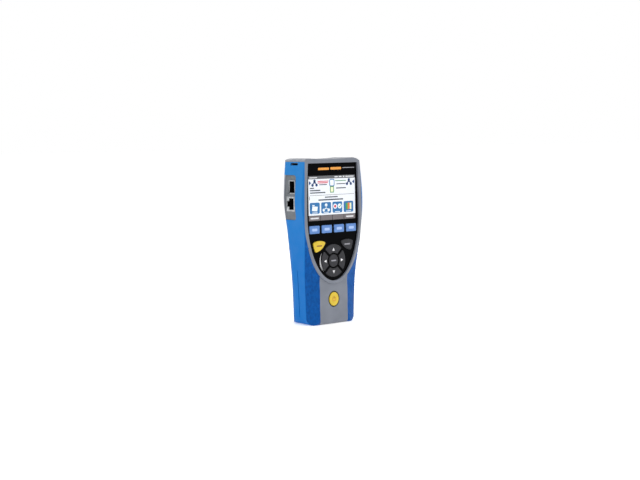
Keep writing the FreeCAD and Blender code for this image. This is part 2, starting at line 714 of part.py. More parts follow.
def makeDisplay():
    centre = ("0", "displayBottom + displayHeight / 2")
    glass = document.addObject("PartDesign::Body", "display_glass")
    back = "%s + glassGap + glassThickness" % lensFrontText
    sketch = frontSketch(glass, "glassOutline", "displayWidth", "displayHeight", centre, back)
    frontPad(glass, "glassPane", sketch, "glassThickness")
    keep(glass, "display_glass")
    module = document.addObject("PartDesign::Body", "display_module")
    frameBack = "%s + gasketThickness + moduleThickness" % wallBackText
    sketch = frontSketch(module, "frameOutline", "displayWidth + 2 * displayMargin",
                         "displayHeight + 2 * displayMargin", centre, frameBack)
    frontPad(module, "frame", sketch, "moduleThickness")
    sketch = frontSketch(module, "panelOutline", "displayWidth - 2 * glassGap",
                         "displayHeight - 2 * glassGap", centre, frameBack)
    frontPad(module, "panel", sketch, "moduleThickness + gasketThickness + lensWall")
    keep(module, "display_module")
    inside = ("-1 * displayWidth / 2 - glassGap", wallBackText, "displayBottom - glassGap")
    spans = ("displayWidth + 2 * glassGap", "gasketThickness", "displayHeight + 2 * glassGap")
    hole = block("gasketHole", inside, spans)
    low = ("-1 * displayWidth / 2 - gasketWidth", wallBackText, "displayBottom - gasketWidth")
    spans = ("displayWidth + 2 * gasketWidth", "gasketThickness", "displayHeight + 2 * gasketWidth")
    keep(without("display_gasket", block("gasketSheet", low, spans), [hole]), "display_gasket")


# ---------------------------------------------------------------- keys, mat and boards

def makeKeys():
    for index in range(len(softKeys)):
        softKey(index)
    for name, face in keyFaces.items():
        shapedKey(name, face)


def makeMat():
    mat = raised(boardFace(-0.5), boardFront, matFront)
    bumps = [drum(spot, size("domeRadius") - 0.3, matFront - size("bumpHeight"), matFront)
             for spot in keyCentres()]
    room = size("domeThickness") + size("bumpGap")
    cuts = [drum(spot, size("domeRadius") + size("bumpGap"), boardFront - room, boardFront)
            for spot in keyCentres()]
    cuts += [drum(spot, size("postRadius") + size("postGap"), matFront - 1, boardFront)
             for spot in postSpots]
    keep(shaped("key_mat", mat.fuse(bumps).cut(cuts)), "key_mat")
    domes = [drum(spot, size("domeRadius"), boardFront - size("domeThickness"), boardFront)
             for spot in keyCentres()]
    keep(shaped("dome_switches", Part.makeCompound(domes)), "dome_switches")
    keep(shaped("key_board", raised(boardFace(0), keyBoardBack, boardFront)), "key_board")


def makeBoards():
    spans = ("2 * mainHalfWidth", "boardThickness", "mainTop - mainBottom")
    keep(block("main_board", ("-1 * mainHalfWidth", mainFrontText, "mainBottom"), spans), "main_board")
    behindKeys = "(%s + boardThickness)" % boardFrontText
    posts = [rod("standoff%d" % index, "y", ("%g" % spot[0], behindKeys, "%g" % spot[1]),
                 "postRadius", "boardGap") for index, spot in enumerate(standoffSpots)]
    keep(together("board_standoffs", posts), "board_standoffs")
    header = block("headerShell", ("-9", behindKeys, "98.4"), ("18", "boardGap", "3.2"))
    keep(header, "board_connector")
    processor = block("processor", ("-27", "%s - 1.2" % mainFrontText, "118"), ("15", "1.2", "15"))
    memory = block("memory", ("-8", "%s - 1.1" % mainFrontText, "120"), ("10", "1.1", "8"))
    switch = block("packetSwitch", ("8", "%s - 1.2" % mainFrontText, "138"), ("18", "1.2", "14"))
    keep(together("circuit_chips", [processor, memory, switch]), "circuit_chips")
    keep(rod("clock_cell", "y", ("0", mainBackText, "112"), "6", "3.2"), "clock_cell")


# ---------------------------------------------------------------- sockets at the sides

def sideText(side, height):
    """The distance from the middle to a socket's mouth, sunk below the outer side."""
    return "%.3f - socketRecess" % abs(sideWall(side, size(height)))


def socketBlock(name, side, height, length, low, deep, wide, centre):
    """A block whose outer end is at the side's mouth; it runs inwards by its length."""
    mouth = sideText(side, height)
    start = "-1 * (%s)" % mouth if side < 0 else "%s - (%s)" % (mouth, length)
    return block(name, (start, low, "%s - (%s) / 2" % (centre, wide)), (length, deep, wide))


def makeJack(side, name):
    outer = socketBlock(name + "Shell", side, "jackCentre", "jackLength", mainBackText,
                        "jackDepth", "jackWidth", "jackCentre")
    low = "%s + 2 * socketWall" % mainBackText
    throat = socketBlock(name + "Throat", side, "jackCentre", "plugLength", low, "plugHeight",
                         "plugWidth", "jackCentre")
    latch = socketBlock(name + "Latch", side, "jackCentre", "plugLength",
                        "%s + plugHeight" % low, "latchHeight", "latchWidth", "jackCentre")
    keep(without(name, outer, [throat, latch]), name)
    wires = []
    mouth = sideText(side, "jackCentre")
    start = "-1 * (%s) + 4" % mouth if side < 0 else "%s - plugLength" % mouth
    for index in range(8):
        height = "jackCentre + %g" % ((index - 3.5) * 1.02 - 0.2)
        wires.append(block("%sWire%d" % (name, index), (start, low, height),
                           ("plugLength - 4", "0.5", "0.4")))
    keep(together(name + "_contacts", wires), name + "_contacts")


def makeSockets():
    makeJack(-1, "left_jack")
    makeJack(1, "right_jack")
    shell = socketBlock("cageShell", -1, "cageCentre", "cageLength", mainBackText, "cageDepth",
                        "cageWidth", "cageCentre")
    throat = socketBlock("cageThroat", -1, "cageCentre", "cageLength - socketWall",
                         "%s + socketWall" % mainBackText, "cageDepth - 2 * socketWall",
                         "cageWidth - 2 * socketWall", "cageCentre")
    keep(without("transceiver_cage", shell, [throat]), "transceiver_cage")
    shell = socketBlock("usbShell", 1, "cageCentre", "usbLength", mainBackText, "usbDepth",
                        "usbWidth", "cageCentre")
    throat = socketBlock("usbThroat", 1, "cageCentre", "usbLength - 2", "%s + usbWall" % mainBackText,
                         "usbDepth - 2 * usbWall", "usbWidth - 2 * usbWall", "cageCentre")
    shell = without("usbCase", shell, [throat])
    tongue = socketBlock("usbTongue", 1, "cageCentre", "usbLength - 1", "%s + usbWall" % mainBackText,
                         "1.9", "usbWidth - 2.2", "cageCentre")
    keep(together("usb_socket", [shell, tongue]), "usb_socket")
    shell = socketBlock("inletShell", 1, "inletCentre", "inletLength", mainBackText, "inletSize",
                        "inletSize", "inletCentre")
    mouth = sideText(1, "inletCentre")
    middle = "%s + inletSize / 2" % mainBackText
    bore = rod("inletBore", "x", ("%s - inletLength + 2" % mouth, middle, "inletCentre"),
               "inletBore", "inletLength")
    pin = rod("inletPin", "x", ("%s - inletLength" % mouth, middle, "inletCentre"), "inletPin",
              "inletLength - 1")
    keep(together("power_inlet", [without("inletCase", shell, [bore]), pin]), "power_inlet")
    lights = []
    for side, name in ((-1, "leftLight"), (1, "rightLight")):
        mouth = sideText(side, "lightHeight")
        start = "-1 * (%s)" % mouth if side < 0 else "%s - lightLength" % mouth
        lights.append(rod(name, "x", (start, "lightPlace", "lightHeight"), "lightRadius",
                          "lightLength"))
    keep(together("link_lights", lights), "link_lights")


# ---------------------------------------------------------------- battery, door and screws

def makeBattery():
    packFront = "(%s - packDepth)" % caseInnerText
    low = ("-1 * packWidth / 2", packFront, "packBottom")
    keep(block("battery_pack", low, ("packWidth", "packDepth", "packHeight")), "battery_pack")
    inside = block("trayRoom", ("-1 * packWidth / 2 - packGap", "%s - packGap" % packFront,
                                "packBottom - packGap"),
                   ("packWidth + 2 * packGap", "packDepth + packGap + 1",
                    "packHeight + contactSpace + packGap"))
    outside = block("trayShell", ("-1 * packWidth / 2 - packGap - trayWall",
                                  "%s - packGap - trayWall" % packFront,
                                  "packBottom - packGap - trayWall"),
                    ("packWidth + 2 * packGap + 2 * trayWall", "packDepth + packGap + trayWall",
                     "packHeight + contactSpace + packGap + 2 * trayWall"))
    keep(without("battery_tray", outside, [inside]), "battery_tray")
    blades = [block("blade%d" % index, ("%g" % (index * 5 - 8.5), "%s + 5" % packFront,
                                        "packBottom + packHeight"), ("2", "6", "contactSpace"))
              for index in range(4)]
    keep(together("battery_contacts", blades), "battery_contacts")
    keep(rod("buzzer", "y", ("0", "%s - buzzerThickness" % caseInnerText, "buzzerCentre"),
             "buzzerRadius", "buzzerThickness"), "buzzer")


def makeDoor():
    plate = block("doorPlate", ("-1 * doorWidth / 2", "bodyDepth / 2 - doorThickness", "doorBottom"),
                  ("doorWidth", "doorThickness", "doorTop - doorBottom"))
    cuts = []
    screws = []
    headFloor = "(bodyDepth / 2 - headSink - headThickness)"
    for name, height in (("low", "doorBottom + doorScrewInset"), ("high", "doorTop - doorScrewInset")):
        cuts.append(rod(name + "Seat", "y", ("0", headFloor, height), "headRadius + screwGap", "4"))
        cuts.append(rod(name + "Hole", "y", ("0", "bodyDepth / 2 - doorThickness - 1", height),
                        "screwRadius + screwGap", "4"))
        screws.append(rod(name + "Head", "y", ("0", headFloor, height), "headRadius", "headThickness"))
        screws.append(rod(name + "Shank", "y", ("0", "%s - doorThickness - bossRadius" % headFloor, height),
                          "screwRadius", "doorThickness + bossRadius"))
    keep(without("battery_door", plate, cuts), "battery_door")
    keep(together("door_screws", screws), "door_screws")


def makeCaseScrews():
    headFloor = "(%s - headDepth)" % caseInnerText
    screws = []
    for index, spot in enumerate(bossSpots):
        place = ("%g" % spot[0], "%s" % headFloor, "%g" % spot[1])
        screws.append(rod("caseHead%d" % index, "y", place, "headRadius", "headThickness"))
        place = ("%g" % spot[0], "0.5 - screwDepth", "%g" % spot[1])
        screws.append(rod("caseShank%d" % index, "y", place, "screwRadius",
                          "screwDepth - 0.5 + %s" % headFloor))
    keep(together("case_screws", screws), "case_screws")


makeLens()
makeDisplay()
makeKeys()
makeMat()
makeBoards()
makeSockets()
makeBattery()
makeDoor()
makeCaseScrews()
makeCase()
document.recompute()

for item in document.Objects:
    if "Invalid" in item.State or "Error" in item.State:
        raise RuntimeError("%s failed: %s" % (item.Name, item.State))
for name, item in subParts.items():
    if item.Shape.isNull() or not item.Shape.isValid():
        raise RuntimeError("%s has no valid shape" % name)
    print(name, len(item.Shape.Solids), "solids", round(item.Shape.Volume, 1), "cubic mm")
os.makedirs("parts", exist_ok=True)
for name, item in subParts.items():
    item.Shape.exportStep("parts/%s.step" % name)
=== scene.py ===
import math
import bmesh
import bpy
from mathutils import Matrix, Vector


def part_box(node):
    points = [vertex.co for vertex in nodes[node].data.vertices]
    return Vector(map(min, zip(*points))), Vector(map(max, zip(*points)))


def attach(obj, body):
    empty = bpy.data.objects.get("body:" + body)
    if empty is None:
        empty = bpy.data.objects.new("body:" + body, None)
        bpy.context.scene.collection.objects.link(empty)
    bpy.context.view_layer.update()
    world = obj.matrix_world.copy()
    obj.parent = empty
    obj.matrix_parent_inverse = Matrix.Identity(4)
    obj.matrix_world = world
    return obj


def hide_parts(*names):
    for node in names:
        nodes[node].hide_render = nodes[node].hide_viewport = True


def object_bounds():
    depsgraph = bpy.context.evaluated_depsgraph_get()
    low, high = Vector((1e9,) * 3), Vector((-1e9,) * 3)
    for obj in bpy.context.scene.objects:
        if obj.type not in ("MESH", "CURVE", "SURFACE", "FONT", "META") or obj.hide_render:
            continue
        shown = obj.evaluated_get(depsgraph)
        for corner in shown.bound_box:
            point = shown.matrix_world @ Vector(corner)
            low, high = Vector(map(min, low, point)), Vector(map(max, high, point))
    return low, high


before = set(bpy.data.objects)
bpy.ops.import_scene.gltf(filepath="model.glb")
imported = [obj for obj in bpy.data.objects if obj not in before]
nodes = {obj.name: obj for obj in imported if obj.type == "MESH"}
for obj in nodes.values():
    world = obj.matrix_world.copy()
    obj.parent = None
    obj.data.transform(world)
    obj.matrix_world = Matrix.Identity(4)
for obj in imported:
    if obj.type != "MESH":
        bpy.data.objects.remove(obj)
cadLow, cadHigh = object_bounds()
mm = 0.001
print("frame loaded,", len(nodes), "nodes")


def srgb(tone):
    parts = [int(tone[i:i + 2], 16) / 255 for i in (1, 3, 5)]
    return [p / 12.92 if p <= 0.04045 else ((p + 0.055) / 1.055) ** 2.4 for p in parts] + [1.0]


# a setting is a property or a socket's value; a link feeds one of the node's inputs
def addNode(tree, kind, settings=None, links=None):
    node = tree.nodes.new(kind)
    for name, value in (settings or {}).items():
        if isinstance(name, int) or name in node.inputs:
            node.inputs[name].default_value = value
        else:
            setattr(node, name, value)
    for name, source in (links or {}).items():
        tree.links.new(source, node.inputs[name])
    return node


# camera and studio

cameraSetup = {
    "azimuth": -36.65, "elevation": 4.97, "roll": -0.97,  # degrees
    "distance": 1.2, "lens": 63.39, "sensor": 36,  # metres, millimetres, millimetres
    "aimAcross": -1.96, "aimDeep": 1.7, "aimUp": 0.19,  # millimetres from the middle of the tester
}


def placeCamera():
    azimuth = math.radians(cameraSetup["azimuth"])
    elevation = math.radians(cameraSetup["elevation"])
    right = Vector((math.cos(azimuth), math.sin(azimuth), 0))
    flat = math.cos(elevation)
    back = Vector((math.sin(azimuth) * flat, -math.cos(azimuth) * flat, math.sin(elevation)))
    up = back.cross(right)
    middle = (cadLow.z + cadHigh.z) / 2
    aim = Vector((0, cameraSetup["aimDeep"] * mm, middle + cameraSetup["aimUp"] * mm))
    aim += right * cameraSetup["aimAcross"] * mm
    data = bpy.data.cameras.new("camera")
    data.lens = cameraSetup["lens"]
    data.sensor_width = cameraSetup["sensor"]
    camera = bpy.data.objects.new("camera", data)
    bpy.context.scene.collection.objects.link(camera)
    turn = Matrix((right, up, back)).transposed().to_4x4()
    roll = Matrix.Rotation(math.radians(cameraSetup["roll"]), 4, "Z")
    camera.matrix_world = Matrix.Translation(aim + back * cameraSetup["distance"]) @ turn @ roll
    bpy.context.scene.camera = camera


studioSetup = {
    "floorSize": 60.0, "floorTone": "#ffffff", "floorRoughness": 0.95, "floorGlow": 0.3,
    "horizon": 1.0, "overhead": 0.68,  # strengths of the sky
    "bandTop": 0.12, "fadeTop": 0.5,  # ends of the bright band and of the fade, as sines of height
    "lampAim": (0, 0, 0.09),
    "lamps": {  # place, width and height in metres, watts
        "key_lamp": ((-1.0, -0.25, 0.85), 0.7, 0.7, 2.9),
        "front_lamp": ((1.3, -0.5, 0.5), 0.8, 0.8, 3.3),
        "top_lamp": ((0.1, -0.3, 1.2), 0.5, 0.5, 2.2),
        "rear_lamp": ((0.3, 1.0, 0.9), 0.9, 0.6, 3.0),
    },
}


def buildStudio():
    scene = bpy.context.scene
    scene.view_settings.view_transform = "Standard"
    sky = bpy.data.worlds.new("studio sky")
    sky.use_nodes = True
    background = sky.node_tree.nodes["Background"]
    background.inputs["Color"].default_value = (1, 1, 1, 1)
    # bright near the horizon for a white background, and darker overhead
    toward = addNode(sky.node_tree, "ShaderNodeTexCoord").outputs["Generated"]
    height = addNode(sky.node_tree, "ShaderNodeSeparateXYZ", links={0: toward}).outputs["Z"]
    fade = addNode(sky.node_tree, "ShaderNodeMapRange",
                   {"From Min": studioSetup["bandTop"], "From Max": studioSetup["fadeTop"],
                    "To Min": studioSetup["horizon"], "To Max": studioSetup["overhead"]},
                   {"Value": height})
    sky.node_tree.links.new(fade.outputs["Result"], background.inputs["Strength"])
    scene.world = sky
    half = studioSetup["floorSize"] / 2
    mesh = bpy.data.meshes.new("floor")
    corners = [(-half, -half, 0), (half, -half, 0), (half, half, 0), (-half, half, 0)]
    mesh.from_pydata(corners, [], [(0, 1, 2, 3)])
    floor = bpy.data.objects.new("floor", mesh)
    scene.collection.objects.link(floor)
    paper = bpy.data.materials.new("matt white studio paper")
    paper.use_nodes = True
    shader = paper.node_tree.nodes["Principled BSDF"]
    shader.inputs["Base Color"].default_value = srgb(studioSetup["floorTone"])
    shader.inputs["Roughness"].default_value = studioSetup["floorRoughness"]
    shader.inputs["Emission Strength"].default_value = studioSetup["floorGlow"]
    mesh.materials.append(paper)
    for name, (place, width, height, watts) in studioSetup["lamps"].items():
        data = bpy.data.lights.new(name, "AREA")
        data.shape = "RECTANGLE"
        data.size, data.size_y, data.energy = width, height, watts
        lamp = bpy.data.objects.new(name, data)
        lamp.location = place
        ray = Vector(studioSetup["lampAim"]) - Vector(place)
        lamp.rotation_euler = ray.to_track_quat("-Z", "Y").to_euler()
        scene.collection.objects.link(lamp)


placeCamera()
buildStudio()
print("camera and studio ready")


# materials: each starts with the surface's own place in metres, so patterns have real sizes

def newFinish(name, **settings):
    material = bpy.data.materials.new(name)
    material.use_nodes = True
    tree = material.node_tree
    shader = tree.nodes["Principled BSDF"]
    for word, value in settings.items():
        shader.inputs[word.replace("_", " ")].default_value = value
    place = addNode(tree, "ShaderNodeTexCoord").outputs["Object"]
    return material, tree, shader, place


noiseReach = (0.35, 0.65)  # the part of the noise that is spread from low to high
bumpStrength = 0.6


# soft patches of a grain size in millimetres, running from low to high
def patches(tree, place, grain, low=0.0, high=1.0, detail=2.0):
    grains = addNode(tree, "ShaderNodeTexNoise", {"Scale": 1 / (grain * mm), "Detail": detail},
                     {"Vector": place})
    spread = addNode(tree, "ShaderNodeMapRange",
                     {"From Min": noiseReach[0], "From Max": noiseReach[1],
                      "To Min": low, "To Max": high},
                     {"Value": grains.outputs["Fac"]})
    return spread.outputs["Result"]


# two tones in soft patches, a roughness that varies, and a fine grain; patch and grain sizes and
# relief are in millimetres
def patchyFinish(name, tones, roughness, patch, grain, relief, **settings):
    material, tree, shader, place = newFinish(name, **settings)
    tone = addNode(tree, "ShaderNodeMix",
                   {"data_type": "RGBA", 6: srgb(tones[0]), 7: srgb(tones[1])},
                   {0: patches(tree, place, patch, detail=3)})
    tree.links.new(tone.outputs[2], shader.inputs["Base Color"])
    tree.links.new(patches(tree, place, patch / 2, *roughness), shader.inputs["Roughness"])
    if relief:
        bump = addNode(tree, "ShaderNodeBump", {"Strength": bumpStrength, "Distance": relief * mm},
                       {"Height": patches(tree, place, grain)})
        tree.links.new(bump.outputs["Normal"], shader.inputs["Normal"])
    return material


# the side tone turns into the paler top tone towards the top, a painted highlight
rubberLook = {
    # the front and hollow tones are darker partly as painted shade of the sloping corners and partly
    # as the eroded texture's own tone
    "side": "#0a6bb8", "litTop": "#2178be", "front": "#0054a2", "hollow": "#004689",
    "streak": 2.0, "grain": 0.45, "relief": 0.04, "roughPatch": 12,  # millimetres
    "stretch": (1, 1, 0.6), "bump": 0.7, "roughness": (0.45, 0.62),
    "turnLow": 0.3, "turnHigh": 0.5,  # how far a face turns to the front or back to take the eroded tone, which is darker partly as painted shade
    "fadeLow": 0.088, "fadeHigh": 0.104,  # heights in metres over which the eroded and shaded tone fades
    "fadeRest": 0.25,  # share of it that is left above
    "paleLow": 0.06, "paleHigh": 0.16,  # heights in metres over which the sides turn pale, a painted highlight towards the top
}


# thermoplastic rubber moulded over the case: satin sides that turn paler towards the top as a
# painted highlight, and sloping corners with an eroded texture, mottled, in a darker tone that is
# partly the texture's own and partly painted shade
def gripRubber():
    look = rubberLook
    material, tree, shader, place = newFinish("blue thermoplastic rubber, overmoulded",
                                              IOR=1.5, Specular_IOR_Level=0.12)
    # faces turned to the front or back take a darker tone: partly the eroded texture's own, partly
    # painted shade
    normal = addNode(tree, "ShaderNodeNewGeometry").outputs["Normal"]
    facing = addNode(tree, "ShaderNodeMath", {"operation": "ABSOLUTE"},
                     {0: addNode(tree, "ShaderNodeSeparateXYZ", links={0: normal}).outputs["Y"]})
    turned = addNode(tree, "ShaderNodeMapRange",
                     {"From Min": look["turnLow"], "From Max": look["turnHigh"]},
                     {"Value": facing.outputs[0]})
    height = addNode(tree, "ShaderNodeSeparateXYZ", links={0: place}).outputs["Z"]
    below = addNode(tree, "ShaderNodeMapRange",
                    {"From Min": look["fadeHigh"], "From Max": look["fadeLow"],
                     "To Min": look["fadeRest"]}, {"Value": height})
    erodedAndShaded = addNode(tree, "ShaderNodeMath", {"operation": "MULTIPLY"},
                     {0: turned.outputs["Result"], 1: below.outputs["Result"]})
    # sides turn paler with height: a painted highlight from above
    topHighlight = addNode(tree, "ShaderNodeMapRange",
                     {"From Min": look["paleLow"], "From Max": look["paleHigh"]}, {"Value": height})
    side = addNode(tree, "ShaderNodeMix",
                   {"data_type": "RGBA", 6: srgb(look["side"]), 7: srgb(look["litTop"])},
                   {0: topHighlight.outputs["Result"]})
    stretched = addNode(tree, "ShaderNodeMapping", {"Scale": look["stretch"]}, {"Vector": place})
    erodedShadedTone = addNode(tree, "ShaderNodeMix",
                   {"data_type": "RGBA", 6: srgb(look["front"]), 7: srgb(look["hollow"])},
                   {0: patches(tree, stretched.outputs["Vector"], look["streak"], detail=3)})
    tone = addNode(tree, "ShaderNodeMix", {"data_type": "RGBA"},
                   {0: erodedAndShaded.outputs[0], 6: side.outputs[2], 7: erodedShadedTone.outputs[2]})
    tree.links.new(tone.outputs[2], shader.inputs["Base Color"])
    tree.links.new(patches(tree, place, look["roughPatch"], *look["roughness"]),
                   shader.inputs["Roughness"])
    bump = addNode(tree, "ShaderNodeBump",
                   {"Strength": look["bump"], "Distance": look["relief"] * mm},
                   {"Height": patches(tree, place, look["grain"])})
    tree.links.new(bump.outputs["Normal"], shader.inputs["Normal"])
    return material


shieldLook = {
    "plate": ("#c4c7ca", "#9a9ea2"), "throat": "#0a0a0b",
    "edgeInner": 0.35, "edgeOuter": 0.25, "cloud": 2.5, "roughPatch": 3,  # millimetres
    "roughness": (0.25, 0.4),
}


# tin-plated sheet steel: bright and cloudy outside the socket's mouth, black nylon inside it
def socketShield(name, mouth):
    look = shieldLook
    material, tree, shader, place = newFinish(name)
    across = addNode(tree, "ShaderNodeMath", {"operation": "ABSOLUTE"},
                     {0: addNode(tree, "ShaderNodeSeparateXYZ", links={0: place}).outputs["X"]})
    rim = addNode(tree, "ShaderNodeMapRange",
                  {"From Min": mouth - look["edgeInner"] * mm,
                   "From Max": mouth - look["edgeOuter"] * mm},
                  {"Value": across.outputs[0]}).outputs["Result"]
    plate = addNode(tree, "ShaderNodeMix",
                    {"data_type": "RGBA", 6: srgb(look["plate"][0]), 7: srgb(look["plate"][1])},
                    {0: patches(tree, place, look["cloud"])})
    tone = addNode(tree, "ShaderNodeMix", {"data_type": "RGBA", 6: srgb(look["throat"])},
                   {0: rim, 7: plate.outputs[2]})
    tree.links.new(tone.outputs[2], shader.inputs["Base Color"])
    tree.links.new(rim, shader.inputs["Metallic"])
    tree.links.new(patches(tree, place, look["roughPatch"], *look["roughness"]),
                   shader.inputs["Roughness"])
    return material


maskLook = {
    "tones": ("#0c5a2c", "#0e6232"), "trace": "#2c8a4c",
    "pitch": 7, "traceShare": 0.03,  # millimetres, and a share of the pitch
}


# glass-fibre laminate under green solder mask: glossy, with the copper showing as lighter lines
def solderMask():
    material, tree, shader, place = newFinish("green solder mask on glass laminate", Roughness=0.3)
    flat = addNode(tree, "ShaderNodeCombineXYZ", links={
        axis: addNode(tree, "ShaderNodeSeparateXYZ", links={0: place}).outputs[source]
        for axis, source in (("X", "X"), ("Y", "Z"))})
    traces = addNode(tree, "ShaderNodeTexBrick",
                     {"Scale": 1 / (maskLook["pitch"] * mm), "Mortar Size": maskLook["traceShare"],
                      "Color1": srgb(maskLook["tones"][0]), "Color2": srgb(maskLook["tones"][1]),
                      "Mortar": srgb(maskLook["trace"])},
                     {"Vector": flat.outputs["Vector"]})
    tree.links.new(traces.outputs["Color"], shader.inputs["Base Color"])
    return material


inkLook = {"dot": 0.3, "shade": 0.86}  # millimetres, and the darker dots' share of the tone


# screen-printed ink, or a lit picture element behind the glass: even, with a fine dot structure
def printedInk(name, tone, glow=0.0):
    material, tree, shader, place = newFinish(name, IOR=1.5, Roughness=0.35)
    darker = [part * inkLook["shade"] for part in srgb(tone)]
    shade = addNode(tree, "ShaderNodeMix", {"data_type": "RGBA", 6: srgb(tone), 7: darker},
                    {0: patches(tree, place, inkLook["dot"], detail=0)})
    tree.links.new(shade.outputs[2], shader.inputs["Base Color"])
    if glow:
        tree.links.new(shade.outputs[2], shader.inputs["Emission Color"])
        shader.inputs["Emission Strength"].default_value = glow
    return material


# injection-moulded ABS: spark-eroded grain under a satin shine that handling polishes in patches
caseGrey = patchyFinish("grey ABS, moulded satin", ("#777c87", "#6e737e"),
                        (0.36, 0.5), 20, 0.35, 0.02, IOR=1.53)
panelGrey = patchyFinish("grey ABS, moulded matt", ("#5f646a", "#565b60"),
                         (0.46, 0.6), 12, 0.3, 0.02, IOR=1.53)
nylonBlack = patchyFinish("black glass-filled nylon", ("#17181a", "#0f1012"),
                          (0.45, 0.6), 5, 0.3, 0.02, IOR=1.53)
rubberBlue = gripRubber()
# back-printed polycarbonate with an anti-glare hard coat: nearly black, with wipe marks in its gloss
lensBlack = patchyFinish("black back-printed polycarbonate", ("#010102", "#030305"),
                         (0.08, 0.18), 14, 1, 0, IOR=1.585, Specular_IOR_Level=0.03)
glassBlack = patchyFinish("bonded display glass", ("#0b0d12", "#07080c"),
                          (0.05, 0.12), 14, 1, 0, IOR=1.52)
# double-shot ABS keys: smoother than the case, with a finer grain
keyBlue = patchyFinish("light blue ABS key", ("#5885c6", "#4e7abc"),
                       (0.3, 0.42), 6, 0.3, 0.01, IOR=1.53)
keyYellow = patchyFinish("yellow ABS key", ("#dcbd28", "#d0b11e"),
                         (0.28, 0.4), 6, 0.3, 0.01, IOR=1.53)
keyDark = patchyFinish("charcoal ABS key", ("#29292e", "#222226"),
                       (0.36, 0.5), 6, 0.3, 0.01, IOR=1.53, Specular_IOR_Level=0.3)
# plated and turned metals: a cloudy film over a bright base
steelTin = patchyFinish("tinned steel can", ("#b9bcbf", "#94989c"),
                        (0.25, 0.4), 2.5, 1, 0, Metallic=1.0)
brassTurned = patchyFinish("turned brass", ("#c9a54c", "#b08a38"),
                           (0.25, 0.4), 1.5, 1, 0, Metallic=1.0)
goldPlate = patchyFinish("gold-plated phosphor bronze", ("#e2b95a", "#c99a3c"),
                         (0.18, 0.3), 1, 1, 0, Metallic=1.0)
zincBlack = patchyFinish("black zinc-plated steel", ("#4a4b4f", "#37383b"),
                         (0.3, 0.48), 1, 1, 0, Metallic=1.0)
# soft inner parts: matt, with open cells or a dusty bloom
foamBlack = patchyFinish("black open-cell foam", ("#151515", "#0a0a0a"),
                         (0.8, 0.95), 0.8, 0.5, 0.08)
siliconeGrey = patchyFinish("grey silicone rubber", ("#5b5e63", "#4b4e53"),
                            (0.55, 0.7), 4, 0.6, 0.02, IOR=1.43)
filmDark = patchyFinish("heat-shrunk battery film", ("#2a2f3a", "#20242e"),
                        (0.2, 0.35), 8, 3, 0.1, IOR=1.55)
pipeClear = patchyFinish("frosted acrylic light pipe", ("#7c8a80", "#66736a"),
                         (0.15, 0.3), 1, 0.3, 0.01, IOR=1.49)
shieldSteel = socketShield("tinned steel socket shield", abs(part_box("left_jack")[0].x))
cageSteel = socketShield("tinned steel cage", abs(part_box("transceiver_cage")[0].x))
maskGreen = solderMask()

finishes = {
    caseGrey: "front_housing rear_housing battery_door",
    rubberBlue: "left_grip right_grip",
    lensBlack: "lens_panel",
    glassBlack: "display_glass",
    keyBlue: "f1_key f2_key f3_key f4_key",
    keyYellow: "escape_key power_key",
    keyDark: "autotest_key up_key right_key down_key left_key enter_key",
    panelGrey: "left_port_panel right_port_panel",
    steelTin: "display_module dome_switches clock_cell usb_socket",
    shieldSteel: "left_jack right_jack",
    cageSteel: "transceiver_cage",
    goldPlate: "left_jack_contacts right_jack_contacts battery_contacts",
    brassTurned: "board_standoffs",
    zincBlack: "door_screws case_screws",
    foamBlack: "display_gasket",
    siliconeGrey: "key_mat",
    filmDark: "battery_pack",
    pipeClear: "link_lights",
    maskGreen: "key_board main_board",
    nylonBlack: "board_connector circuit_chips power_inlet battery_tray buzzer",
}
for material, names in finishes.items():
    for name in names.split():
        nodes[name].data.materials.clear()
        nodes[name].data.materials.append(material)
print("materials on the frame")


# outlines on the front, in millimetres across and up

def roundedBox(width, height, radius, centre=(0, 0), steps=5):
    points = []
    for quarter, (signX, signZ) in enumerate(((1, 1), (-1, 1), (-1, -1), (1, -1))):
        middle = (centre[0] + signX * (width / 2 - radius),
                  centre[1] + signZ * (height / 2 - radius))
        for step in range(steps + 1):
            turn = math.pi / 2 * (quarter + step / steps)
            points.append((middle[0] + radius * math.cos(turn), middle[1] + radius * math.sin(turn)))
    return points


# a bar from low to high across, with slightly rounded ends
def bar(low, high, height, thick, rounding=0.3):
    return roundedBox(high - low, thick, thick * rounding, ((low + high) / 2, height), 2)


# bars placed from an anchor; each is its start, end, height and thickness
def barRows(x, z, rows):
    return [bar(x + low, x + high, z + height, thick) for low, high, height, thick in rows]


def disc(radius, centre, steps=24):
    turns = [2 * math.pi * step / steps for step in range(steps)]
    return [(centre[0] + radius * math.cos(turn), centre[1] + radius * math.sin(turn))
            for turn in turns]


# a bent band from one angle to another in degrees, which thins out to its ends when it is a crescent
def arcBand(outer, inner, centre, start, end, crescent=False, steps=28, thinnest=0.02):
    points = []
    for side in (1, -1):
        for step in range(steps + 1)[::side]:
            part = step / steps
            turn = math.radians(start + (end - start) * part)
            width = (outer - inner) / 2 * (math.sin(math.pi * part) if crescent else 1)
            radius = (outer + inner) / 2 + side * max(width, thinnest)
            points.append((centre[0] + radius * math.cos(turn), centre[1] + radius * math.sin(turn)))
    return points


# a band of even thickness along a line of points
def stroke(points, thick):
    left, right = [], []
    for index, point in enumerate(points):
        before = Vector(points[max(index - 1, 0)])
        after = Vector(points[min(index + 1, len(points) - 1)])
        along = (after - before).normalized()
        side = Vector((-along.y, along.x)) * thick / 2
        left.append(tuple(Vector(point) + side))
        right.append(tuple(Vector(point) - side))
    return left + right[::-1]


def addPiece(name, mesh, material, body):
    mesh.name = name
    mesh.materials.clear()
    mesh.materials.append(material)
    piece = bpy.data.objects.new(name, mesh)
    bpy.context.scene.collection.objects.link(piece)
    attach(piece, body)
    return piece


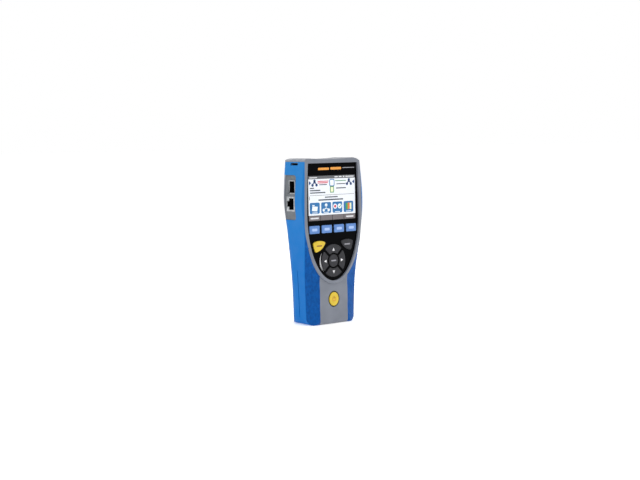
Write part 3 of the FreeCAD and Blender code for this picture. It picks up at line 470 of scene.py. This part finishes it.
# closed thin plates side by side in one mesh; facing is -1 for plates on the front, 1 on the back
def platePiece(name, outlines, face, thick, material, body, facing=-1):
    shape = bmesh.new()
    for outline in outlines:
        outer = [shape.verts.new((x * mm, face * mm, z * mm)) for x, z in outline]
        inner = [shape.verts.new((x * mm, (face - facing * thick) * mm, z * mm)) for x, z in outline]
        shape.faces.new(outer)
        shape.faces.new(inner[::-1])
        for index in range(len(outline)):
            after = (index + 1) % len(outline)
            shape.faces.new((outer[index], inner[index], inner[after], outer[after]))
    bmesh.ops.recalc_face_normals(shape, faces=shape.faces)
    bmesh.ops.triangulate(shape, faces=shape.faces)
    mesh = bpy.data.meshes.new(name)
    shape.to_mesh(mesh)
    shape.free()
    return addPiece(name, mesh, material, body)


# the picture on the display, in millimetres

screenLook = {
    "layer": 0.04, "glow": 0.1,
    "titleHeight": 3.2, "softHeight": 5.7, "softGap": 0.35,
    "signDrop": 7.2,  # from the top to the row of signs
    "hub": 22.6, "hubRise": 2.2, "dot": 1.5, "dotSides": 18, "spread": 2.6,
    "branch": 1.1, "branchEnd": 0.6,
    "arrowTip": 4.2, "arrowBase": 7.2, "arrowHalf": 2.2,
    "testerShapes": {  # width, height, corner, rise over the row
        "head": (5.0, 6.0, 1.2, -0.3), "headEdge": (6.8, 7.8, 1.8, -0.3),
        "foot": (3.4, 5.0, 0.4, -7.3), "footEdge": (5.2, 6.8, 0.6, -7.3)},
    "ruleInset": 1.5, "ruleDrop": 12.9, "ruleThick": 0.4,
    "cursor": (0.9, 1.6, -17.5, -13.8),  # from the left and from the row: start, end, foot, top
    "timeBar": (18, 1.5, 1.5, 1.1),  # from the middle, from the right, from the top, thickness
    "iconSize": 12.9, "iconHeight": 11.6, "iconCorner": 1.6, "iconPitch": 14.8, "iconFoot": 7.4,
    "iconShift": 0.6, "iconBar": (-3.4, 3.4, -4.8, 0.7),
    "ring": 2.6, "ringSide": 3, "ringRise": 1, "target": 1.5, "tick": 0.8,
}

screenTints = {
    "Field": "#e9eef5", "Title": "#5a5c60", "Soft": "#6c6568", "Navy": "#123f7a", "Red": "#d02f4c",
    "Green": "#3f8a58", "Text": "#444a56", "Icon": "#1d6ca6", "Pale": "#e9f2fa",
    "Orange": "#e0702a", "Leaf": "#3f9a4c", "Cream": "#e8edc4", "Label": "#d9dade",
}

screenBars = {  # start, end, height and thickness of each bar
    "leftLabel": [(2.2, 12.8, 2.7, 1.5)],
    "rightLabel": [(-12.4, -2.6, 2.7, 1.5)],
    "titleStart": [(1.4, 11.5, -1.7, 1.0)],
    "titleEnd": [(3.5, 8, -1.5, 1.2), (9.2, 13, -1.5, 1.2), (14.6, 16.6, -1.5, 1.6)],
    "leftLink": [(-18.6, -4.4, 1.5, 0.9), (-18.6, -5.2, -0.1, 1.0)],
    "rightLink": [(4.4, 18.6, 1.5, 0.8)],
    "linkNames": [(-16.5, -6.5, -2.0, 0.9), (6, 18, -1.8, 0.9)],
    "notes": [(2, 7.5, -5.4, 1.1), (2, 15.5, -7.8, 1.2), (2, 22, -10.2, 1.2)],
    "results": [(5.4, 18.6, -6.2, 1.1), (-9.5, 7.5, -15.2, 1.2), (-18, 14.5, -17.9, 1.4)],
}


iconShapes = {  # across and up from the middle of each icon
    "folder": [(-3.7, -2.6), (3.0, -3.3), (3.9, 1.5), (-3.0, 2.2)],
    "folderTab": [(-3.2, 2.6), (-0.4, 2.3), (0, 3.3), (-3.0, 3.6)],
    "hubs": [(1.7, 0, 2.8), (1.5, -3.2, -2.4), (1.5, 3.2, -2.4)],  # radius and place
    "trunk": (-0.5, 0.5, 0.8, 3.2),
    "branches": [((-0.3, -0.4), (-2.8, -2)), ((0.3, -0.4), (2.8, -2))], "branchThick": 1.0,
    "tick": [(1.7, 1.1), (2.7, -0.1), (4.5, 2.3)],
    "doorPost": (-3.6, -1.2, -3, 3.8), "doorLight": (1.7, 3.8, -3, 3.8),  # start, end, foot, top
    "doorLeaf": [(-1.0, -3.4), (1.4, -2.2), (1.4, 4.4), (-1.0, 3.8)],
}


def makeScreen():
    look, bars, shapes = screenLook, screenBars, iconShapes
    low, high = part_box("display_glass")
    left, right, foot, top = (value / mm for value in (low.x, high.x, low.z, high.z))
    glass = low.y / mm
    middle = (left + right) / 2
    inks = {}

    # a higher level lies nearer to the eye
    def layer(name, tint, level, outlines):
        if tint not in inks:
            inks[tint] = printedInk("display, " + tint.lower(), screenTints[tint], look["glow"])
        face = glass - look["layer"] * level
        platePiece("display_" + name, outlines, face, look["layer"], inks[tint], "case")

    def plate(x0, x1, z0, z1):
        return [(x0, z0), (x1, z0), (x1, z1), (x0, z1)]

    titleFoot = top - look["titleHeight"]
    softTop = foot + look["softHeight"]
    layer("field", "Field", 1, [plate(left, right, softTop, titleFoot)])
    layer("title_bar", "Title", 1, [plate(left, right, titleFoot, top)])
    gap = look["softGap"]
    step = (right - left) / 4
    layer("soft_labels", "Soft", 1, [
        plate(left + step * i + gap, left + step * (i + 1) - gap, foot + gap, softTop - gap)
        for i in range(4)])
    timeStart, timeEnd, timeDrop, timeThick = look["timeBar"]
    layer("label_bars", "Label", 2,
          barRows(left, foot, bars["leftLabel"]) + barRows(right, foot, bars["rightLabel"])
          + barRows(left, top, bars["titleStart"]) + barRows(middle, top, bars["titleEnd"])
          + [bar(middle + timeStart, right - timeEnd, top - timeDrop, timeThick)])

    row = top - look["signDrop"]
    rise, spread = look["hubRise"], look["spread"]
    signs = []
    for side in (-1, 1):
        hub = middle + side * look["hub"]
        dots = ((hub, row + rise), (hub - spread, row - rise), (hub + spread, row - rise))
        signs += [disc(look["dot"], spot, look["dotSides"]) for spot in dots]
        signs += [stroke([(hub, row + rise), (hub + reach, row - rise)], look["branch"])
                  for reach in (-spread, spread)]
        signs.append(stroke([(hub, row + rise), (hub, row - look["branchEnd"])], look["branch"]))
        base, half = hub + side * look["arrowBase"], look["arrowHalf"]
        arrow = [(base, row + half), (hub + side * look["arrowTip"], row), (base, row - half)]
        signs.append(arrow[::side])
    layer("network_signs", "Navy", 2, signs)
    layer("left_link", "Red", 2, barRows(middle, row, bars["leftLink"]))
    layer("right_link", "Green", 2, barRows(middle, row, bars["rightLink"]))
    for name, tint, level, shape in (("tester_head", "Pale", 3, "head"),
                                     ("tester_head_edge", "Icon", 2, "headEdge"),
                                     ("tester_foot", "Cream", 3, "foot"),
                                     ("tester_foot_edge", "Green", 2, "footEdge")):
        width, tall, corner, up = look["testerShapes"][shape]
        layer(name, tint, level, [roundedBox(width, tall, corner, (middle, row + up))])
    layer("text_lines", "Text", 2,
          barRows(middle, row, bars["linkNames"]) + barRows(left, row, bars["notes"])
          + barRows(middle, row, bars["results"]))
    inset = look["ruleInset"]
    start, end, cursorFoot, cursorTop = look["cursor"]
    layer("ruled_lines", "Soft", 2, [
        bar(left + inset, right - inset, row - look["ruleDrop"], look["ruleThick"]),
        plate(left + start, left + end, row + cursorFoot, row + cursorTop)])

    tall = look["iconHeight"]
    centre = foot + look["iconFoot"] + tall / 2
    spots = [middle + look["iconPitch"] * (i - 1.5) - look["iconShift"] for i in range(4)]
    folder, network, rings, door = spots
    layer("icons", "Icon", 2, [roundedBox(look["iconSize"], tall, look["iconCorner"], (spot, centre))
                               for spot in spots])
    leftRing, rightRing = [(rings + side * look["ringSide"], centre + look["ringRise"])
                           for side in (-1, 1)]

    def moved(points, x):
        return [(x + across, centre + up) for across, up in points]

    def doorPlate(name):
        start, end, low, high = shapes[name]
        return plate(door + start, door + end, centre + low, centre + high)

    signs = [moved(shapes["folder"], folder), moved(shapes["folderTab"], folder)]
    signs += [disc(radius, (network + x, centre + z), look["dotSides"])
              for radius, x, z in shapes["hubs"]]
    signs += barRows(network, centre, [shapes["trunk"]])
    signs += [stroke(moved(line, network), shapes["branchThick"]) for line in shapes["branches"]]
    signs += [disc(look["ring"], leftRing), disc(look["ring"], rightRing)]
    for spot in spots:
        signs += barRows(spot, centre, [look["iconBar"]])
    layer("icon_signs", "Pale", 3, signs)
    layer("target_sign", "Red", 4, [disc(look["target"], leftRing)])
    layer("tick_sign", "Leaf", 4, [stroke(moved(shapes["tick"], rings), look["tick"])])
    layer("door_post", "Leaf", 3, [doorPlate("doorPost")])
    layer("door_leaf", "Orange", 3, [moved(shapes["doorLeaf"], door)])
    layer("door_light", "Cream", 3, [doorPlate("doorLight")])


makeScreen()
print("display picture made")


# printed legends: plain marks and bars in place of words, in millimetres; also a painted highlight
# arc by the arrow keys and a painted shade oval around the power key

legendLook = {
    "thick": 0.05, "arrow": ((0, 1.6), (135, 2.2), (225, 2.2)),  # each corner's turn and distance
    "powerRing": (2.5, 1.8), "powerTurn": (-235, 55), "powerBar": (-0.35, 0.35, 1.9, 2.6),
    "ringSink": 1.5, "ringThick": 0.3, "ringSides": 48,
    "ringShape": (7.2, 8.45),  # half axes of the dark oval laid in the dish as painted shade
    "nameBars": [(-17.8, -3.6, -5.9, 2.4), (-1.8, 12.4, -5.7, 2.6)],
    "nameTail": [(14.2, 30, -5.3, 0.8)],
    "highlightArcs": [(17.6, 16.8, 150, 216), (16.5, 16.1, 172, 222)],  # a painted highlight on the rim of the arrow keys' recess: radii in millimetres, degrees
}

legendInks = {"white": "#e8e8ea", "brown": "#8a5a14", "grey": "#9a9aa2", "pale": "#a9c4f2",
              "orange": "#d98a1c", "bright": "#f0a03c"}

arrowTurns = {"up_key": 90, "left_key": 180, "down_key": 270, "right_key": 0}  # degrees

keyBars = {  # half width, height over the key's middle, thickness, ink, slot
    "enter_key": (3.2, 0, 1.3, "grey", "dark_key"),
    "autotest_key": (3.6, 0.6, 1.3, "grey", "dark_key"),
    "escape_key": (3.4, 0.8, 1.3, "brown", "yellow_key"),
    "f1_key": (3.4, -0.1, 2.8, "pale", "blue_key"),
    "f2_key": (3.4, -0.1, 2.8, "pale", "blue_key"),
    "f3_key": (3.4, -0.1, 2.8, "pale", "blue_key"),
    "f4_key": (3.4, -0.1, 2.8, "pale", "blue_key"),
}


# middle of a key's face: across, front and up
def keyMiddle(name):
    low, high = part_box(name)
    return (low.x + high.x) / 2 / mm, low.y / mm, (low.z + high.z) / 2 / mm


def makeLegends():
    look = legendLook
    thick = look["thick"]
    inks = {tone: printedInk(tone + " pad-printed ink", tint) for tone, tint in legendInks.items()}
    for name, turn in arrowTurns.items():
        x, face, z = keyMiddle(name)
        outline = []
        for step, size in look["arrow"]:
            corner = math.radians(turn + step)
            outline.append((x + size * math.cos(corner), z + size * math.sin(corner)))
        platePiece(name + "_mark", [outline], face - thick, thick, inks["white"], name)
    for name, (half, up, height, ink, slot) in keyBars.items():
        x, face, z = keyMiddle(name)
        platePiece(name + "_mark", [bar(x - half, x + half, z + up, height)], face - thick, thick,
                   inks[ink], name)
    x, face, z = keyMiddle("power_key")
    sign = [arcBand(*look["powerRing"], (x, z), *look["powerTurn"])]
    sign += barRows(x, z, [look["powerBar"]])
    platePiece("power_key_mark", sign, face - thick, thick, inks["orange"], "power_key")
    # a dark oval of black nylon on the floor of the power key's dish: painted shade, not a part
    wide, tall = look["ringShape"]
    oval = [(x + px * wide, z + pz * tall) for px, pz in disc(1, (0, 0), look["ringSides"])]
    platePiece("power_key_ring", [oval], face + look["ringSink"], look["ringThick"], nylonBlack,
               "case")
    low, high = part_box("lens_panel")
    face = low.y / mm - thick
    top = high.z / mm
    platePiece("name_bars", barRows(0, top, look["nameBars"]), face, thick, inks["bright"], "case")
    platePiece("name_tail", barRows(0, top, look["nameTail"]), face, thick, inks["grey"], "case")
    # white crescents beside the arrow keys: a painted highlight, not print
    x, _, z = keyMiddle("enter_key")
    highlightArcs = [arcBand(outer, inner, (x, z), start, end, True)
            for outer, inner, start, end in look["highlightArcs"]]
    platePiece("nav_arc", highlightArcs, face, thick, inks["white"], "case")


makeLegends()
print("legends made")


# a blank foil label on the back, with plain ruled bars in place of print

labelLook = {
    "width": 34, "height": 12.5, "corner": 1.2, "foot": 99.5, "thick": 0.12,
    "rows": 4, "pitch": 2.3, "firstRow": 2.8, "rowStart": -15, "rowEnds": (2.5, 0.3),
    "rowThick": 0.8, "inkThick": 0.04,
    "square": (9.5, 8.5, 0.8), "squarePlace": 10.4,  # width, height and corner; place across
    "foil": ("#b9bcc0", "#a9acb0"), "print": "#4c4f55",
}


def makeLabel():
    look = labelLook
    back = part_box("battery_door")[1].y / mm
    middle = look["foot"] + look["height"] / 2
    foil = patchyFinish("matt silver polyester foil", look["foil"], (0.35, 0.5), 5, 0.3, 0.01,
                        Metallic=0.4)
    sheet = roundedBox(look["width"], look["height"], look["corner"], (0, middle))
    platePiece("rating_label", [sheet], back + look["thick"], look["thick"], foil, "case",
               facing=1)
    rows = [bar(look["rowStart"], look["rowEnds"][row % 2],
                look["foot"] + look["firstRow"] + look["pitch"] * row, look["rowThick"])
            for row in range(look["rows"])]
    rows.append(roundedBox(*look["square"], (look["squarePlace"], middle)))
    platePiece("rating_label_bars", rows, back + look["thick"] + look["inkThick"], look["inkThick"],
               printedInk("grey label ink", look["print"]), "case", facing=1)


makeLabel()
print("label made")


# pieces that geometry nodes repeat

def newGroup(name, sockets):
    group = bpy.data.node_groups.new(name, "GeometryNodeTree")
    group.interface.new_socket("Geometry", in_out="OUTPUT", socket_type="NodeSocketGeometry")
    for socket, kind in sockets:
        group.interface.new_socket(socket, in_out="INPUT", socket_type="NodeSocket" + kind)
    return group, addNode(group, "NodeGroupInput").outputs


def finishGroup(group, geometry, material):
    plain = addNode(group, "GeometryNodeRealizeInstances", links={"Geometry": geometry})
    painted = addNode(group, "GeometryNodeSetMaterial", {"Material": material},
                      {"Geometry": plain.outputs[0]})
    addNode(group, "NodeGroupOutput", links={0: painted.outputs[0]})


# runs a group on a host mesh, keeps the result as a plain mesh and removes modifier and maker
def makeByNodes(name, group, host, values, material, body):
    maker = bpy.data.objects.new(name + " maker", host)
    bpy.context.scene.collection.objects.link(maker)
    modifier = maker.modifiers.new("maker", "NODES")
    modifier.node_group = group
    for item in group.interface.items_tree:
        if item.in_out == "INPUT" and item.name in values:
            modifier[item.identifier] = values[item.name]
    graph = bpy.context.evaluated_depsgraph_get()
    mesh = bpy.data.meshes.new_from_object(maker.evaluated_get(graph))
    maker.modifiers.remove(modifier)
    bpy.data.objects.remove(maker)
    return addPiece(name, mesh, material, body)


gripTexture = {
    "spacing": 1.5, "radius": 0.62, "height": 0.14,  # millimetres
    "low": 7.0, "high": 84.0,  # heights that bear pimples
    "frontInner": 19.6, "backInner": 24.4,  # pimples start this far from the middle
    "frontFacing": (-1.1, -0.45), "backFacing": (0.45, 1.1),  # limits of the normal's depth part
    "flank": 0.55, "smallest": 0.6, "largest": 1.15,  # shares of the radius and of the size
    "sides": 8, "densest": 1.0e6, "seed": 11,
}


# low pimples scattered on the sloping corners of a grip, each on a point of the rubber's surface
def pimpleGroup():
    look = gripTexture
    group, inputs = newGroup("grip pimples", [
        ("Geometry", "Geometry"), ("Spacing", "Float"), ("Radius", "Float"), ("Height", "Float"),
        ("Low", "Float"), ("High", "Float"), ("Inner", "Float"), ("Facing Low", "Float"),
        ("Facing High", "Float"), ("Seed", "Int")])
    position = addNode(group, "GeometryNodeInputPosition").outputs[0]
    direction = addNode(group, "GeometryNodeInputNormal").outputs[0]
    place = addNode(group, "ShaderNodeSeparateXYZ", links={0: position})
    normal = addNode(group, "ShaderNodeSeparateXYZ", links={0: direction})
    across = addNode(group, "ShaderNodeMath", {"operation": "ABSOLUTE"}, {0: place.outputs["X"]})
    wanted = None
    for value, limit, operation in ((place.outputs["Z"], "Low", "GREATER_THAN"),
                                    (across.outputs[0], "Inner", "GREATER_THAN"),
                                    (place.outputs["Z"], "High", "LESS_THAN"),
                                    (normal.outputs["Y"], "Facing Low", "GREATER_THAN"),
                                    (normal.outputs["Y"], "Facing High", "LESS_THAN")):
        test = addNode(group, "FunctionNodeCompare", {"data_type": "FLOAT", "operation": operation},
                       {0: value, 1: inputs[limit]}).outputs[0]
        if wanted is not None:
            test = addNode(group, "FunctionNodeBooleanMath", {"operation": "AND"},
                           {0: wanted, 1: test}).outputs[0]
        wanted = test
    spots = addNode(group, "GeometryNodeDistributePointsOnFaces",
                    {"distribute_method": "POISSON", "Density Max": look["densest"]},
                    {"Mesh": inputs["Geometry"], "Selection": wanted,
                     "Distance Min": inputs["Spacing"], "Seed": inputs["Seed"]})
    flank = addNode(group, "ShaderNodeMath", {"operation": "MULTIPLY", 1: look["flank"]},
                    {0: inputs["Radius"]})
    pimple = addNode(group, "GeometryNodeMeshCone", {"Vertices": look["sides"]},
                     {"Radius Top": flank.outputs[0], "Radius Bottom": inputs["Radius"],
                      "Depth": inputs["Height"]})
    size = addNode(group, "FunctionNodeRandomValue",
                   {"data_type": "FLOAT", 2: look["smallest"], 3: look["largest"]},
                   {"Seed": inputs["Seed"]})
    copies = addNode(group, "GeometryNodeInstanceOnPoints", links={
        "Points": spots.outputs["Points"], "Instance": pimple.outputs["Mesh"],
        "Rotation": spots.outputs["Rotation"], "Scale": size.outputs[1]})
    finishGroup(group, copies.outputs[0], rubberBlue)
    return group


def makeGripTexture():
    look = gripTexture
    group = pimpleGroup()
    for side in ("left", "right"):
        for region in ("front", "back"):
            facingLow, facingHigh = look[region + "Facing"]
            values = {"Spacing": look["spacing"] * mm, "Radius": look["radius"] * mm,
                      "Height": look["height"] * mm, "Low": look["low"] * mm,
                      "High": look["high"] * mm, "Inner": look[region + "Inner"] * mm,
                      "Facing Low": facingLow, "Facing High": facingHigh, "Seed": look["seed"]}
            makeByNodes(side + "_grip_" + region + "_pimples", group, nodes[side + "_grip"].data,
                        values, rubberBlue, "case")


makeGripTexture()
print("grip texture made")


# copies of a template on the points of a host mesh
def copyGroup(name, material):
    group, inputs = newGroup(name, [("Geometry", "Geometry"), ("Template", "Object"),
                                    ("Size", "Float")])
    template = addNode(group, "GeometryNodeObjectInfo", links={"Object": inputs["Template"]})
    copies = addNode(group, "GeometryNodeInstanceOnPoints", links={
        "Points": inputs["Geometry"], "Instance": template.outputs["Geometry"],
        "Scale": inputs["Size"]})
    finishGroup(group, copies.outputs[0], material)
    return group


# the template is removed when its copies are made
def makeCopies(name, template, spots, material, body):
    host = bpy.data.meshes.new(name + " spots")
    host.from_pydata([Vector(spot) * mm for spot in spots], [], [])
    piece = makeByNodes(name, copyGroup(name, material), host,
                        {"Template": template, "Size": 1.0}, material, body)
    mesh = template.data
    bpy.data.objects.remove(template)
    bpy.data.meshes.remove(mesh)
    return piece


# a closed mesh through rings of equal outlines, capped at both ends; each ring is outline and depth
def ringMesh(name, rings):
    shape = bmesh.new()
    loops = [[shape.verts.new((x * mm, depth * mm, z * mm)) for x, z in outline]
             for outline, depth in rings]
    shape.faces.new(loops[0])
    shape.faces.new(loops[-1][::-1])
    for inner, outer in zip(loops, loops[1:]):
        for index in range(len(inner)):
            after = (index + 1) % len(inner)
            shape.faces.new((inner[index], inner[after], outer[after], outer[index]))
    bmesh.ops.recalc_face_normals(shape, faces=shape.faces)
    mesh = bpy.data.meshes.new(name)
    shape.to_mesh(mesh)
    shape.free()
    piece = bpy.data.objects.new(name, mesh)
    bpy.context.scene.collection.objects.link(piece)
    return piece


screwLook = {  # millimetres
    "headRadius": 2.3, "headThick": 1.2, "shankRadius": 1.25,
    "dome": 0.35, "crown": 0.05, "chamfer": 0.25, "steps": 40, "weld": 0.002,
    "crownShare": 0.55, "domeShare": 0.6, "edgeShare": 0.4,  # of the radius, the dome, the chamfer
    "recess": 0.75, "slot": 0.62, "reach": 2.7, "recessTaper": 0.7, "cutterRise": 0.5,
}


# a pan head with a cross recess, its shank behind it; profile pairs are radius and depth
def screwTemplate(length):
    look = screwLook
    head, shank, edge = look["headRadius"], look["shankRadius"], look["chamfer"]
    profile = [(0, 0), (head * look["crownShare"], look["crown"]),
               (head - edge, look["dome"] * look["domeShare"]),
               (head, look["dome"] + edge * look["edgeShare"]), (head, look["headThick"]),
               (shank, look["headThick"]), (shank, length - shank), (0, length)]
    shape = bmesh.new()
    points = [shape.verts.new((radius * mm, -depth * mm, 0)) for radius, depth in profile]
    edges = [shape.edges.new(pair) for pair in zip(points, points[1:])]
    bmesh.ops.spin(shape, geom=points + edges, cent=(0, 0, 0), axis=(0, 1, 0), angle=2 * math.pi,
                   steps=look["steps"])
    bmesh.ops.remove_doubles(shape, verts=shape.verts, dist=look["weld"] * mm)
    bmesh.ops.recalc_face_normals(shape, faces=shape.faces)
    mesh = bpy.data.meshes.new("screw")
    shape.to_mesh(mesh)
    shape.free()
    screw = bpy.data.objects.new("screw", mesh)
    bpy.context.scene.collection.objects.link(screw)
    arm, half, taper = look["reach"] / 2, look["slot"] / 2, look["recessTaper"]
    cross = [(half, half), (arm, half), (arm, -half), (half, -half), (half, -arm), (-half, -arm),
             (-half, -half), (-arm, -half), (-arm, half), (-half, half), (-half, arm), (half, arm)]
    cutter = ringMesh("recess", [(cross, look["cutterRise"]),
                                 ([(x * taper, z * taper) for x, z in cross], -look["recess"])])
    modifier = screw.modifiers.new("recess", "BOOLEAN")
    modifier.object = cutter
    modifier.operation = "DIFFERENCE"
    graph = bpy.context.evaluated_depsgraph_get()
    cut = bpy.data.meshes.new_from_object(screw.evaluated_get(graph))
    screw.modifiers.remove(modifier)
    screw.data = cut
    bpy.data.objects.remove(cutter)
    return screw


screwSpots = {  # node: body, and each screw's place across and up in millimetres
    "door_screws": ("battery_door", [(0, 9), (0, 91)]),
    "case_screws": ("case", [(-24.5, 165.5), (24.5, 165.5), (-28.9, 76), (28.9, 76),
                             (-22.5, 8.5), (22.5, 8.5)]),
}


def makeScrews():
    for name, (body, places) in screwSpots.items():
        low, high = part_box(name)
        template = screwTemplate((high.y - low.y) / mm)
        spots = [(x, high.y / mm, z) for x, z in places]
        piece = makeCopies(name.replace("screws", "pan_screws"), template, spots, zincBlack, body)
        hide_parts(name)


makeScrews()
print("screws made")


# ridges with round ends that a thumb pulls on, lying across, proud of the door
doorLook = {  # millimetres
    "ridges": 6, "pitch": 2.4, "length": 20, "width": 1.1, "proud": 0.5, "foot": 74.0,
    "sunk": 0.2, "shoulder": 0.5, "topShare": 0.55,  # depth in the door, shares of proud and width
    "flat": 0.001,  # left between the quarter rounds of an end, so that no points meet
}


def makeDoorRidges():
    look = doorLook
    rings = []
    for share, depth in ((1.0, -look["sunk"]), (1.0, look["proud"] * look["shoulder"]),
                         (look["topShare"], look["proud"])):
        width = look["width"] * share
        length = look["length"] - look["width"] * (1 - share)
        rings.append((roundedBox(length, width, width / 2 - look["flat"]), depth))
    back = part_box("battery_door")[1].y / mm
    spots = [(0, back, look["foot"] + look["pitch"] * i) for i in range(look["ridges"])]
    makeCopies("door_ridges", ringMesh("ridge", rings), spots, caseGrey, "battery_door")


makeDoorRidges()
print("door ridges made")
